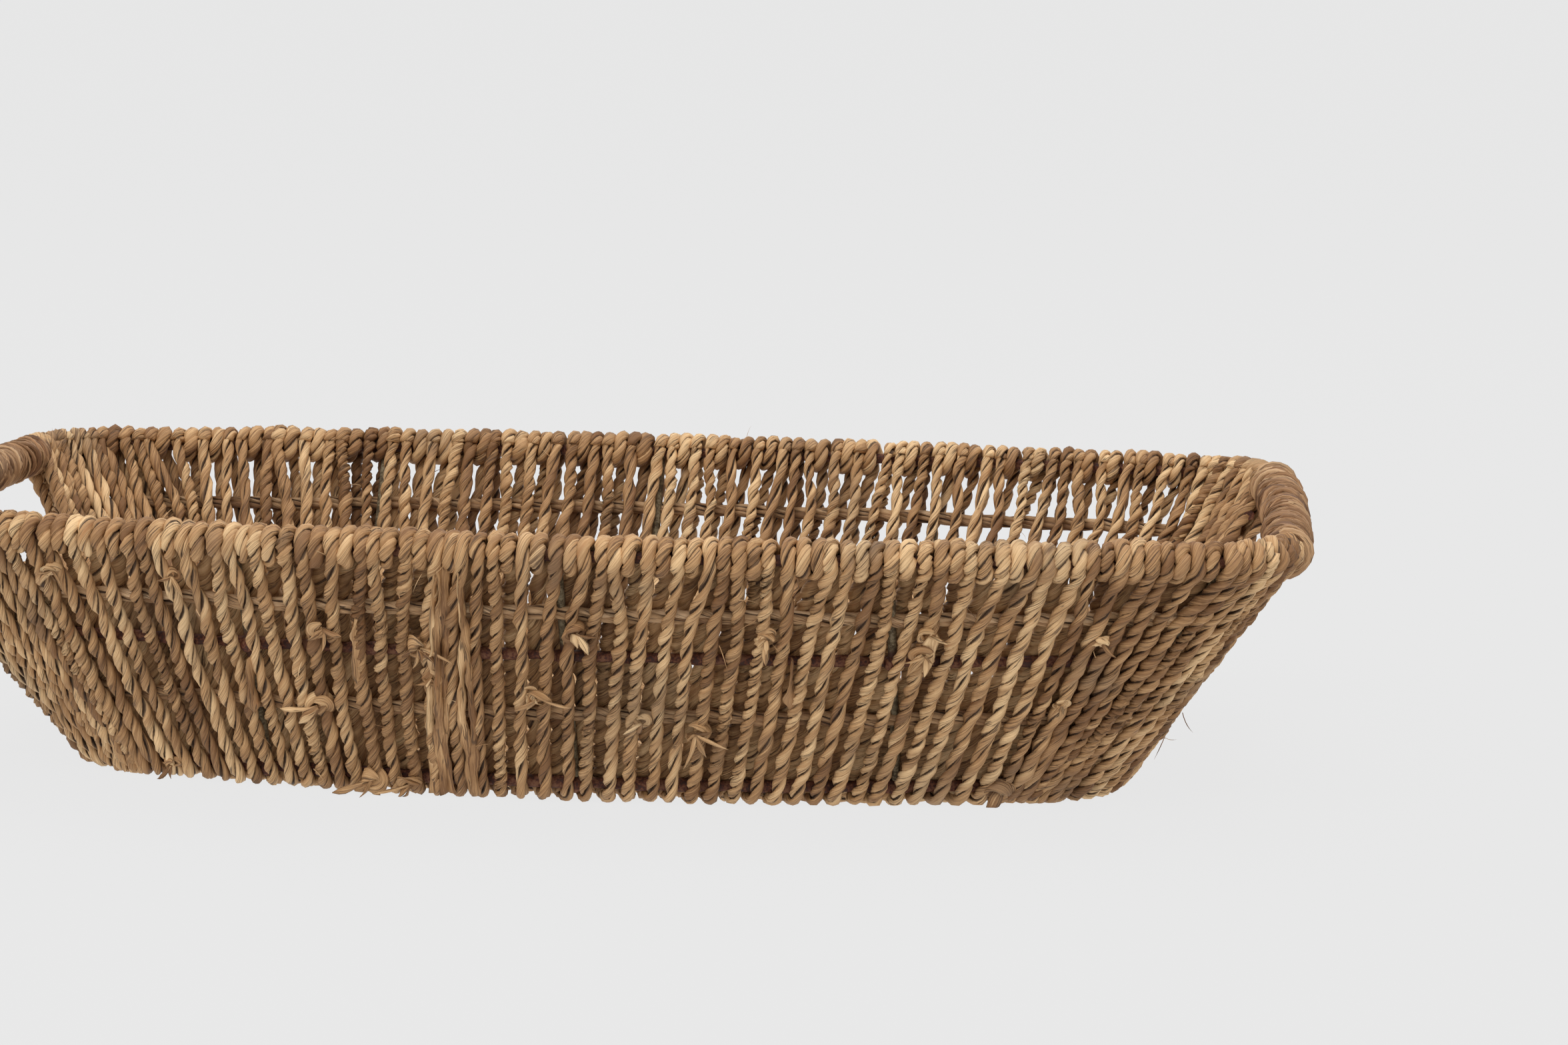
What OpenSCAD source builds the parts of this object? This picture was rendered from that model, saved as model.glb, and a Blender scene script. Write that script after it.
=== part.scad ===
// Flared seagrass basket: a welded wire frame with a two-ply rope wound over it.
// Millimetres, +Z up, origin at the middle of the footprint, long side along X.

/* [Overall] */
// Outside length at the rim
rim_length = 400; // [340:1:480]
// Outside width at the middle of the rim
rim_width = 232; // [200:1:290]
// Height from the table to the top of the rim
basket_height = 80; // [66:1:110]

/* [Rim outline] */
// Radius of the gentle bow of the rim's long sides
rim_side_bow_r = 811; // [500:1:1500]
// Radius of the gentle bow of the rim's short sides
rim_end_bow_r = 1170; // [500:1:2000]
// Corner radius of the rim wire
rim_corner_r = 24; // [16:1:34]

/* [Base outline] */
// Length of the base wire
base_length = 301; // [270:1:320]
// Width of the base wire
base_width = 145; // [120:1:165]
// Radius of the bow of the base's long sides
base_side_bow_r = 474; // [400:1:1500]
// Radius of the bow of the base's short sides
base_end_bow_r = 170; // [120:1:900]
// Corner radius of the base wire
base_corner_r = 28; // [20:1:34]

/* [Wires] */
// Diameter of the rim and base wires
ring_wire_d = 3.2; // [2.4:0.1:4]
// Diameter of the middle wire
middle_wire_d = 2.8; // [2:0.1:3.2]
// Diameter of the ribs and the corner posts
rib_d = 2.4; // [1.6:0.1:3]
// Distance between two ribs
rib_pitch = 88; // [60:1:100]
// Height of the middle wire, as a share of the wall from base wire to rim wire
middle_share = 0.57; // [0.5:0.01:0.62]

/* [Rope] */
// Thickness of one layer of rope
rope_d = 3.8; // [3:0.1:4.6]
// Thickness of a twine row
twine_d = 2.8; // [2:0.1:3]
// Height of a twine row
twine_h = 3.6; // [2.5:0.1:5]
// Height of the upper twine row, as a share of the wall
upper_twine_share = 0.76; // [0.7:0.01:0.82]
// Height of the lower twine row, as a share of the wall
lower_twine_share = 0.32; // [0.25:0.01:0.4]

/* [Hand holes] */
// Length of a hand hole, as a share of the straight end of the rim
hole_share = 0.8; // [0.5:0.01:0.9]

/* [Hidden] */

$fa = 6;
$fs = 0.5;

// Clearances: wrap on its wire, wire end at its weld, rope layer on a wire, panel edge beside a wrap
wrap_gap = 0.05;
weld_gap = 0.05;
layer_gap = 0.25;
edge_gap = 0.3;
// Share of a quarter outline by which two neighbouring rope panels stand apart
seam_share = 0.004;
// Share of the straight end by which a wrapped sill stops short of the rope beside the hand hole
sill_trim = 0.1;
// Depth by which standing has pressed the base edge flat
foot_press = 0.2;
// Distances of the floor's twine rows from the middle: between the ribs, and beyond the outer rib
floor_twine_x = [rib_pitch / 2, (rib_pitch + base_length / 2) / 2];

ring_r = ring_wire_d / 2;
middle_r = middle_wire_d / 2;
rib_r = rib_d / 2;
// Outer radius of a rope wound on the rim wire, the middle wire and the base wire
rim_wrap_r = ring_r + wrap_gap + rope_d + layer_gap;
sill_wrap_r = middle_r + wrap_gap + rope_d;
base_wrap_r = ring_r + wrap_gap + rope_d;
base_z = base_wrap_r - foot_press;
rim_z = basket_height - rim_wrap_r;
middle_z = base_z + middle_share * (rim_z - base_z);
// Distance from the middle of the wall to the near and far face of a rope layer
layer_in = ring_r + layer_gap;
layer_out = layer_in + rope_d;

// Outlines as [half length, half width, side bow radius, end bow radius, corner radius]
rim_oval = [rim_length / 2 - rim_wrap_r, rim_width / 2 - rim_wrap_r, rim_side_bow_r, rim_end_bow_r, rim_corner_r];
base_oval = [base_length / 2, base_width / 2, base_side_bow_r, base_end_bow_r, base_corner_r];
middle_oval = wall_oval(middle_share);

// Shares of a quarter outline where its end arc and its corner arc stop
end_share = 0.24;
corner_share = 0.44;
hole_stop = end_share * hole_share;
// Share of a quarter outline where a corner post stands
post_share = corner_share - 0.027;
// Steps of a band along a corner, along a side and along a hand hole
corner_steps = 10;
side_steps = 16;
end_steps = 4;
// Sides of a ring wire's section
ring_sides = 8;
// Steps of a full turn of a long arc, and of a wrap's own section
arc_fn = 720;
section_fn = 60;

// Outline of the wall at a height given as a share of the wall
function wall_oval(share) = base_oval + share * (rim_oval - base_oval);

// Centre of the corner arc in the first quarter: it touches the side arc and the end arc
function corner_centre(o) =
    let (
        a = o[2] - o[1],
        b = o[3] - o[0],
        reach_side = o[2] - o[4],
        reach_end = o[3] - o[4],
        k = reach_side * reach_side - reach_end * reach_end - a * a + b * b,
        slope = b / a,
        shift = k / (2 * a) + a,
        q = 1 + slope * slope,
        x = (-slope * shift + sqrt(slope * slope * shift * shift - q * (shift * shift - reach_side * reach_side))) / q
    )
    [x, slope * x + k / (2 * a)];

// Polar angle where the end arc meets the corner arc
function end_angle(o) = let (c = corner_centre(o)) atan2(c[1], c[0] + o[3] - o[0]);
// Polar angle where the corner arc meets the side arc
function side_angle(o) = let (c = corner_centre(o)) atan2(c[1] + o[2] - o[1], c[0]);

// Place and outward direction on the first quarter, w from 0 at the end to 1 at the side
function quarter_point(o, w) =
    let (c = corner_centre(o), ae = end_angle(o), as = side_angle(o))
    w < end_share ? arc_point([o[0] - o[3], 0], o[3], ae * w / end_share) :
    w < corner_share ? arc_point(c, o[4], ae + (as - ae) * (w - end_share) / (corner_share - end_share)) :
    arc_point([0, o[1] - o[2]], o[2], as + (90 - as) * (w - corner_share) / (1 - corner_share));

function arc_point(c, r, a) = [c[0] + r * cos(a), c[1] + r * sin(a), cos(a), sin(a)];

// The same for the whole outline: u is 0 at the right end, 1 at the back, 2 at the left, 3 at the front
function outline_point(o, u) =
    let (
        turn = (u % 4 + 4) % 4,
        q = floor(turn),
        w = turn - q,
        p = quarter_point(o, q % 2 == 0 ? w : 1 - w),
        sx = q == 1 || q == 2 ? -1 : 1,
        sy = q >= 2 ? -1 : 1
    )
    [sx * p[0], sy * p[1], sx * p[2], sy * p[3]];

// Lean of the wall from upright at u
function wall_lean(u) =
    let (r = outline_point(rim_oval, u), b = outline_point(base_oval, u))
    atan2((r[0] - b[0]) * r[2] + (r[1] - b[1]) * r[3], rim_z - base_z);

// A point at share of the wall's height, at u round it, and d outward from its middle
function wall_point(share, u, d) =
    let (p = outline_point(wall_oval(share), u), lean = wall_lean(u))
    [
        p[0] + d * p[2] * cos(lean),
        p[1] + d * p[3] * cos(lean),
        base_z + share * (rim_z - base_z) - d * sin(lean)
    ];

// Length of the slanting wall at u, from base wire to rim wire
function wall_slant(u) = (rim_z - base_z) / cos(wall_lean(u));

// Half width of an outline at a distance x from its middle
function side_y(o, x) = sqrt(o[2] * o[2] - x * x) - o[2] + o[1];

function tail(v) = [for (i = [1:len(v) - 1]) v[i]];

function reverse(v) = [for (i = [len(v) - 1:-1:0]) v[i]];

// Even steps from a to b
function spread(a, b, n) = [for (i = [0:n]) a + (b - a) * i / n];

// Wraps along the arcs of an outline, in the right end and the back: children() is the section
module end_arc(o, share = 1) {
    a = end_angle(o) * share;
    translate([o[0] - o[3], 0, 0])
        rotate([0, 0, -a])
            rotate_extrude(angle = 2 * a, $fn = arc_fn)
                translate([o[3], 0])
                    children();
}

module side_arc(o) {
    a = side_angle(o);
    translate([0, o[1] - o[2], 0])
        rotate([0, 0, a])
            rotate_extrude(angle = 180 - 2 * a, $fn = arc_fn)
                translate([o[2], 0])
                    children();
}

module corner_arc(o) {
    c = corner_centre(o);
    translate([c[0], c[1], 0])
        rotate([0, 0, end_angle(o)])
            rotate_extrude(angle = side_angle(o) - end_angle(o), $fn = arc_fn / 4)
                translate([o[4], 0])
                    children();
}

module on_left() {
    mirror([1, 0, 0])
        children();
}

module on_front() {
    mirror([0, 1, 0])
        children();
}

// A closed ring of round wire at a share of the wall's height
module ring_wire(share, r) {
    o = wall_oval(share);
    z = base_z + share * (rim_z - base_z);
    quarter = [
        each spread(0, end_share, end_steps),
        each tail(spread(end_share, corner_share, corner_steps)),
        each tail(spread(corner_share, 1, side_steps / 2))
    ];
    stations = [for (q = [0:3]) each tail([for (w = q % 2 == 0 ? quarter : reverse(quarter)) q % 2 == 0 ? q + w : q + 1 - w])];
    n = len(stations);
    k = ring_sides;
    points = [
        for (u = stations, j = [0:k - 1])
            let (p = outline_point(o, u), a = 360 * (j + 0.5) / k)
            [p[0] + r * cos(a) * p[2], p[1] + r * cos(a) * p[3], z + r * sin(a)]
    ];
    faces = [
        for (i = [0:n - 1], j = [0:k - 1])
            let (a = i * k + j, b = i * k + (j + 1) % k, c = ((i + 1) % n) * k + j, d = ((i + 1) % n) * k + (j + 1) % k)
            each [[a, c, d], [a, d, b]]
    ];
    polyhedron(points = points, faces = faces, convexity = 6);
}

module wrap_section(inner_r, outer_r) {
    difference() {
        circle(outer_r, $fn = section_fn);
        circle(inner_r, $fn = section_fn);
    }
}

module foot_section() {
    intersection() {
        wrap_section(ring_r + wrap_gap, base_wrap_r);
        translate([-base_wrap_r, -base_z])
            square([2 * base_wrap_r, 2 * base_wrap_r]);
    }
}

// A round bar from a to b, short of each by its gap
module bar(a, b, r, gap_a, gap_b) {
    v = b - a;
    length = norm(v);
    translate(a + v * gap_a / length)
        rotate([0, acos(v[2] / length), atan2(v[1], v[0])])
            cylinder(r = r, h = length - gap_a - gap_b);
}

// Distance from a ring's middle at which a bar along v, crossing the ring's run, clears the ring
function weld_reach(ring_radius, v, run) =
    let (c = abs(v * run) / norm(v), si = sqrt(1 - c * c))
    (ring_radius + rib_r * c) / si + weld_gap;

// Run of an outline's side arc at a distance x from its middle
function side_run(o, x) = [-sqrt(o[2] * o[2] - x * x), x, 0] / o[2];

// Run of an outline at a corner post
function post_run(o) = let (p = outline_point(o, post_share)) [-p[3], p[2], 0];

// Two bars from low to mid to top, clear of the three rings that they are welded to
module welded_bars(points, runs) {
    lower = points[1] - points[0];
    upper = points[2] - points[1];
    bar(points[0], points[1], rib_r, weld_reach(ring_r, lower, runs[0]) + rib_r, weld_reach(middle_r, lower, runs[1]));
    bar(points[1], points[2], rib_r, weld_reach(middle_r, upper, runs[1]), weld_reach(ring_r, upper, runs[2]));
}

// The same bars at full length and a little thicker, to part a rope wrap round them
module bar_clearance(points) {
    for (i = [0, 1])
        bar(points[i], points[i + 1], rib_r + wrap_gap, 0, 0);
}

function rib_points(x) = [
    [x, side_y(base_oval, x), base_z],
    [x, side_y(middle_oval, x), middle_z],
    [x, side_y(rim_oval, x), rim_z]
];

function post_points() = [for (share = [0, middle_share, 1]) wall_point(share, post_share, 0)];

module floor_bar(x, r, reach) {
    translate([x, 0, base_z])
        rotate([90, 0, 0])
            cylinder(r = r, h = 2 * reach, center = true);
}

module rib(x) {
    floor_bar(x, rib_r, side_y(base_oval, x) - ring_r - rib_r);
    for (k = [0, 1])
        mirror([0, k, 0])
            welded_bars(rib_points(x), [for (o = [base_oval, middle_oval, rim_oval]) side_run(o, x)]);
}

// A post at the side end of the corner, in the first quarter
module corner_post() {
    welded_bars(post_points(), [for (o = [base_oval, middle_oval, rim_oval]) post_run(o)]);
}

// Room for the ribs in a wrap on the back
module rib_clearance() {
    for (x = [-rib_pitch, 0, rib_pitch]) {
        bar_clearance(rib_points(x));
        floor_bar(x, rib_r + wrap_gap, side_y(base_oval, x));
    }
}

// A closed band swept over stations [u, top share]: it follows the wall between two distances
module band(stations, bottom_gap, d0, d1) {
    rows = 3;
    sections = [
        for (s = stations)
            let (
                u = s[0],
                low = bottom_gap / wall_slant(u),
                shares = [low, min(middle_share, (low + s[1]) / 2), s[1]]
            )
            concat(
                [for (h = shares) wall_point(h, u, d1)],
                [for (h = reverse(shares)) wall_point(h, u, d0)]
            )
    ];
    swept(sections, 2 * rows);
}

// A closed solid through a list of sections with k points each
module swept(sections, k) {
    n = len(sections);
    points = [for (s = sections, p = s) p];
    sides = [
        for (i = [0:n - 2], j = [0:k - 1])
            let (a = i * k + j, b = i * k + (j + 1) % k, c = a + k, d = b + k)
            each [[a, c, d], [a, d, b]]
    ];
    caps = [
        for (j = [1:k - 2])
            each [[0, j, j + 1], [(n - 1) * k, (n - 1) * k + j + 1, (n - 1) * k + j]]
    ];
    polyhedron(points = points, faces = concat(sides, caps), convexity = 6);
}

// Top of a panel below the rim wrap and below the wrapped sill, as shares of the wall
function rim_stop(u) = 1 - (rim_wrap_r + edge_gap) / wall_slant(u);
function sill_stop(u) = middle_share - (sill_wrap_r + edge_gap) / wall_slant(u);

// Stations of a long side's panel, with middle at u = 1 for the back and 3 for the front
function side_stations(middle) =
    let (reach = 1 - corner_share - seam_share)
    [for (u = spread(middle - reach, middle + reach, side_steps)) [u, rim_stop(u)]];

// Stations of a short side's panel, with middle at u = 0 for the right and 2 for the left
function end_stations(middle) =
    let (
        edge = corner_share - seam_share,
        step = seam_share,
        half = concat(
            [for (w = spread(edge, end_share, corner_steps)) [w, rim_stop(w)]],
            [for (w = spread(end_share - step, hole_stop + step, 1)) [w, rim_stop(w)]]
        ),
        sill = [for (w = spread(-hole_stop, hole_stop, end_steps)) [w, sill_stop(w)]]
    )
    concat(
        [for (s = half) [middle - s[0], s[1]]],
        [for (s = sill) [middle + s[0], s[1]]],
        [for (s = reverse(half)) [middle + s[0], s[1]]]
    );

// A rope layer: outer when outside, else inner
module rope_layer(stations, outside) {
    d0 = outside ? layer_in : -layer_out;
    band(stations, base_wrap_r + edge_gap, d0, d0 + rope_d);
}

// One length of twine between the rope layers, at a share of the wall, from u0 to u1
module twine(share, u0, u1, steps) {
    half = twine_h / 2;
    sections = [
        for (u = spread(u0, u1, steps))
            let (s = half / wall_slant(u), t = twine_d / 2)
            [wall_point(share - s, u, t), wall_point(share + s, u, t),
             wall_point(share + s, u, -t), wall_point(share - s, u, -t)]
    ];
    swept(sections, 4);
}

// Place on the side arc, as a share of the quarter outline, at a distance x from the middle
function side_share(o, x) =
    let (as = side_angle(o), a = acos(x / o[2]))
    corner_share + (1 - corner_share) * (a - as) / (90 - as);

// Share of a quarter outline by which a twine row keeps clear of a corner post
function post_clear(share) =
    let (arc_length = norm(wall_point(share, corner_share, 0) - wall_point(share, end_share, 0)))
    (rib_r + 2 * edge_gap) / arc_length * (corner_share - end_share);

// A twine row along one half of the back: the bay beside the middle rib and the outer bay
module side_twine(share) {
    o = wall_oval(share);
    clear = rib_r + 2 * edge_gap;
    twine(share, side_share(o, rib_pitch - clear), side_share(o, clear), side_steps / 2);
    twine(share, post_share + post_clear(share), side_share(o, rib_pitch + clear), side_steps / 2);
}

// A twine row round one corner, from w to the post
module corner_twine(share, w) {
    twine(share, w, post_share - post_clear(share), corner_steps);
}

module in_quarters() {
    for (k = [0, 1], m = [0, 1])
        mirror([k, 0, 0])
            mirror([0, m, 0])
                children();
}

// Outline of a floor layer, inside the wrapped base edge
module floor_slab(z) {
    inset = base_wrap_r + edge_gap;
    points = [
        for (u = spread(0, 4 - 4 / (4 * side_steps), 4 * side_steps - 1))
            let (p = outline_point(base_oval, u))
            [p[0] - inset * p[2], p[1] - inset * p[3]]
    ];
    translate([0, 0, z])
        linear_extrude(rope_d - layer_gap)
            polygon(points);
}

module rim_wire() {
    color("saddlebrown")
        ring_wire(1, ring_r);
}

module middle_wire() {
    color("saddlebrown")
        ring_wire(middle_share, middle_r);
}

module base_wire() {
    color("saddlebrown")
        ring_wire(0, ring_r);
}

module rib_left() {
    color("darkkhaki")
        rib(-rib_pitch);
}

module rib_centre() {
    color("darkkhaki")
        rib(0);
}

module rib_right() {
    color("darkkhaki")
        rib(rib_pitch);
}

module corner_post_back_right() {
    color("darkkhaki")
        corner_post();
}

module corner_post_back_left() {
    color("darkkhaki")
        on_left()
            corner_post();
}

module corner_post_front_right() {
    color("darkkhaki")
        on_front()
            corner_post();
}

module corner_post_front_left() {
    color("darkkhaki")
        on_front()
            on_left()
                corner_post();
}

module rim_wrap_back() {
    color("tan")
        difference() {
            translate([0, 0, rim_z])
                side_arc(rim_oval)
                    wrap_section(ring_r + wrap_gap, rim_wrap_r);
            rib_clearance();
        }
}

module rim_wrap_front() {
    on_front()
        rim_wrap_back();
}

module rim_corner_wrap_back_right() {
    color("tan")
        difference() {
            translate([0, 0, rim_z])
                corner_arc(rim_oval)
                    wrap_section(ring_r + wrap_gap, rim_wrap_r);
            bar_clearance(post_points());
        }
}

module rim_corner_wrap_back_left() {
    on_left()
        rim_corner_wrap_back_right();
}

module rim_corner_wrap_front_right() {
    on_front()
        rim_corner_wrap_back_right();
}

module rim_corner_wrap_front_left() {
    on_front()
        on_left()
            rim_corner_wrap_back_right();
}

module grip_wrap_right() {
    color("burlywood")
        translate([0, 0, rim_z])
            end_arc(rim_oval)
                wrap_section(ring_r + wrap_gap, rim_wrap_r);
}

module grip_wrap_left() {
    on_left()
        grip_wrap_right();
}

module sill_wrap_right() {
    color("tan")
        translate([0, 0, middle_z])
            end_arc(middle_oval, hole_share - sill_trim)
                wrap_section(middle_r + wrap_gap, sill_wrap_r);
}

module sill_wrap_left() {
    on_left()
        sill_wrap_right();
}

module outer_ropes_back() {
    color("tan")
        rope_layer(side_stations(1), true);
}

module outer_ropes_front() {
    color("tan")
        rope_layer(side_stations(3), true);
}

module outer_ropes_right() {
    color("tan")
        rope_layer(end_stations(0), true);
}

module outer_ropes_left() {
    color("tan")
        rope_layer(end_stations(2), true);
}

module inner_ropes_back() {
    color("peru")
        rope_layer(side_stations(1), false);
}

module inner_ropes_front() {
    color("peru")
        rope_layer(side_stations(3), false);
}

module inner_ropes_right() {
    color("peru")
        rope_layer(end_stations(0), false);
}

module inner_ropes_left() {
    color("peru")
        rope_layer(end_stations(2), false);
}

module base_edge_back() {
    color("tan")
        difference() {
            translate([0, 0, base_z])
                side_arc(base_oval)
                    foot_section();
            rib_clearance();
        }
}

module base_edge_front() {
    on_front()
        base_edge_back();
}

module base_edge_right() {
    color("tan")
        difference() {
            translate([0, 0, base_z]) {
                end_arc(base_oval)
                    foot_section();
                for (k = [0, 1])
                    mirror([0, k, 0])
                        corner_arc(base_oval)
                            foot_section();
            }
            for (k = [0, 1])
                mirror([0, k, 0])
                    bar_clearance(post_points());
        }
}

module base_edge_left() {
    on_left()
        base_edge_right();
}

module upper_twine_row() {
    color("wheat")
        in_quarters() {
            side_twine(upper_twine_share);
            corner_twine(upper_twine_share, end_share);
        }
}

module lower_twine_row() {
    color("wheat")
        in_quarters() {
            side_twine(lower_twine_share);
            corner_twine(lower_twine_share, 2 * seam_share);
        }
}

module floor_lower_ropes() {
    color("tan")
        floor_slab(base_z - rib_r - rope_d);
}

module floor_upper_ropes() {
    color("tan")
        floor_slab(base_z + rib_r + layer_gap);
}

module floor_twine_rows() {
    inset = base_wrap_r + edge_gap;
    color("wheat")
        for (x = floor_twine_x, side = [-1, 1])
            let (reach = side_y(base_oval, x + twine_h / 2) - inset)
            translate([side * x - twine_h / 2, -reach, base_z - rib_r + layer_gap / 2])
                cube([twine_h, 2 * reach, rib_d - layer_gap / 2]);
}

rim_wire();
middle_wire();
base_wire();
rib_left();
rib_centre();
rib_right();
corner_post_front_left();
corner_post_front_right();
corner_post_back_left();
corner_post_back_right();
rim_wrap_front();
rim_wrap_back();
rim_corner_wrap_front_left();
rim_corner_wrap_front_right();
rim_corner_wrap_back_left();
rim_corner_wrap_back_right();
grip_wrap_left();
grip_wrap_right();
sill_wrap_left();
sill_wrap_right();
outer_ropes_front();
outer_ropes_back();
outer_ropes_left();
outer_ropes_right();
inner_ropes_front();
inner_ropes_back();
inner_ropes_left();
inner_ropes_right();
base_edge_front();
base_edge_back();
base_edge_left();
base_edge_right();
upper_twine_row();
lower_twine_row();
floor_lower_ropes();
floor_upper_ropes();
floor_twine_rows();
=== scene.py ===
import math

import bpy
import numpy as np
from mathutils import Matrix, Vector


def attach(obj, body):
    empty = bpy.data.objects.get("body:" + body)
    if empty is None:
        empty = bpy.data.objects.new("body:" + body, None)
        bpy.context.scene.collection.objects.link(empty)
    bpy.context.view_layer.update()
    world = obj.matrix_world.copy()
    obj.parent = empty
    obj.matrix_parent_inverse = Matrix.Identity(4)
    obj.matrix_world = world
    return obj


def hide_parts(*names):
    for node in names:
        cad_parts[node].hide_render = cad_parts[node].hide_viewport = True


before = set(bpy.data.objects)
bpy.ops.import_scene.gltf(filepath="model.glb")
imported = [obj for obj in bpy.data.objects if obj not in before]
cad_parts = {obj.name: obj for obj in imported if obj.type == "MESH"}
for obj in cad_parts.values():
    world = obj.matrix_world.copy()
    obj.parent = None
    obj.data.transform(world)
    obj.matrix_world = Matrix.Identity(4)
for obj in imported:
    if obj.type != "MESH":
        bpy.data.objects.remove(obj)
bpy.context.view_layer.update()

# ---------------------------------------------------------------- sizes, in millimetres
MM = 0.001
# Outlines through the wires: half length, half width, side bow, end bow and corner radius
RIM_OVAL = (194.3, 110.3, 811.0, 1170.0, 24.0)
BASE_OVAL = (150.5, 72.5, 474.0, 170.0, 28.0)
BASE_Z = 5.25
RIM_Z = 74.3
RISE = RIM_Z - BASE_Z
WALL_SLANT = 80       # length of a rope run, nearly
END_SHARE = 0.24      # where the end arc of a quarter outline stops
CORNER_SHARE = 0.44   # where its corner arc stops
POST_SHARE = 0.413    # where a corner post stands
HOLE_SHARE = 0.192    # where the hand hole stops
LAP = 0.006           # by how much the long sides' ropes reach past the post
MIDDLE_SHARE = 0.57   # heights, as shares of the wall
UPPER_TWINE_SHARE = 0.76
LOWER_TWINE_SHARE = 0.32
RIM_WIRE_R = 1.6
MIDDLE_WIRE_R = 1.4

ROPE_R = 1.95         # half the rope's thickness
RUN_D = 3.35          # from the middle of the wall to the middle of a rope run
BASE_PITCH = 4.85     # rope spacing at the base wire
RIM_PITCH = 4.05      # spacing of the wraps on the rim wire
SILL_PITCH = 4.6      # spacing of the wraps on a hand hole's sill
FLOOR_ROOM = 8.6      # from the base wire to where a floor rope starts to turn back
TWIST = 12.0          # length of one full twist of a rope
STEP = 1.35           # distance between two rings of a swept strand
CAP_SPACE = 1.2       # from a strand's end to its cap in the bake map
MAP_SPACE = 2.5       # free length before and after a strand there
UP_PLACE = 0.28       # where a loop goes up outside, as a share of its pitch
DOWN_PLACE = 0.78     # where it comes down inside
BEND_PART = 0.28      # top part of a run that bends to its own wrap
# Where a rope of a long side meets the rim and the base, from the middle to the right
FAN = ((-145, -126), (-60, -61), (20, 11), (145, 119))
# Openness of the back's ropes, from the right end to the left
BACK_PARTS = (0, 0.15, 0.27, 0.36, 0.5, 0.7, 1)
BACK_GAPES = (1.5, 1.45, 1.2, 0.8, 0.5, 0.15, -0.1)

RIGHT, BACK, LEFT, FRONT = 0, 1, 2, 3


# ---------------------------------------------------------------- the wall's shape
def outline(share, u):
    """Place and outward direction in plan. u counts quarters: 0 right end, 1 back, 2 left end, 3 front."""
    share, u = np.broadcast_arrays(np.asarray(share, float), np.asarray(u, float))
    length, width, side_bow, end_bow, corner = (b + share * (r - b) for b, r in zip(BASE_OVAL, RIM_OVAL))
    a, b = side_bow - width, end_bow - length
    k = (side_bow - corner) ** 2 - (end_bow - corner) ** 2 - a * a + b * b
    slope = b / a
    shift = k / (2 * a) + a
    q = 1 + slope ** 2
    cx = (-slope * shift + np.sqrt((slope * shift) ** 2 - q * (shift ** 2 - (side_bow - corner) ** 2))) / q
    cy = slope * cx + k / (2 * a)
    end_turn = np.arctan2(cy, cx + b)
    side_turn = np.arctan2(cy + a, cx)
    u = np.mod(u, 4)
    quarter = np.floor(u).astype(int)
    w = np.where(quarter % 2 == 0, u - quarter, 1 - (u - quarter))
    on_end, on_corner = w <= END_SHARE, w <= CORNER_SHARE
    turn = np.select(
        [on_end, on_corner],
        [end_turn * w / END_SHARE,
         end_turn + (side_turn - end_turn) * (w - END_SHARE) / (CORNER_SHARE - END_SHARE)],
        side_turn + (math.pi / 2 - side_turn) * (w - CORNER_SHARE) / (1 - CORNER_SHARE))
    radius = np.select([on_end, on_corner], [end_bow, corner], side_bow)
    px = np.select([on_end, on_corner], [-b, cx], 0.0)
    py = np.select([on_end, on_corner], [0 * cy, cy], -a)
    nx, ny = np.cos(turn), np.sin(turn)
    sx = np.where((quarter == 1) | (quarter == 2), -1, 1)
    sy = np.where(quarter >= 2, -1, 1)
    return (px + radius * nx) * sx, (py + radius * ny) * sy, nx * sx, ny * sy


def wall(share, u):
    """Middle of the wall, and its outward and upward directions."""
    x, y, nx, ny = outline(share, u)
    rx, ry, rnx, rny = outline(1.0, u)
    bx, by, _, _ = outline(0.0, u)
    lean = np.arctan2((rx - bx) * rnx + (ry - by) * rny, RISE)
    z = BASE_Z + RISE * np.asarray(share) + 0 * x
    middle = np.stack([x, y, z], -1)
    out = np.stack([nx * np.cos(lean), ny * np.cos(lean), -np.sin(lean)], -1)
    up = np.stack([nx * np.sin(lean), ny * np.sin(lean), np.cos(lean)], -1)
    return middle, out, up


class Edge:
    """A stretch of outline that turns a distance along it into u."""

    def __init__(self, share, start, stop):
        self.u = np.linspace(start, stop, 600)
        x, y, _, _ = outline(share, self.u)
        self.run = np.concatenate([[0], np.cumsum(np.hypot(np.diff(x), np.diff(y)))])
        self.length = self.run[-1]

    def at(self, distance):
        return np.interp(distance, self.run, self.u)


# ---------------------------------------------------------------- strands
def unit(v):
    return v / np.maximum(np.linalg.norm(v, axis=-1, keepdims=True), 1e-9)


def wander(dice, run, reach):
    """Smooth random values, mostly within 1 of 0, that change over about reach."""
    total = np.zeros(len(run))
    for stretch in (1.0, 1.7, 2.9):
        wave = reach * stretch * dice.uniform(0.8, 1.25)
        total += np.sin(2 * math.pi * run / wave + dice.uniform(0, 6.3))
    return total / 1.7


def travelled(points):
    """Distance along a line to each of its points."""
    return np.concatenate([[0], np.cumsum(np.linalg.norm(np.diff(points, axis=0), axis=1))])


def even(points, away, step):
    """The same line and its outward directions, with the points an even step apart."""
    old = travelled(points)
    run = np.linspace(0, old[-1], max(3, int(round(old[-1] / step)) + 1))
    points = np.stack([np.interp(run, old, points[:, k]) for k in range(3)], 1)
    away = unit(np.stack([np.interp(run, old, away[:, k]) for k in range(3)], 1))
    return points, away, run


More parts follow.
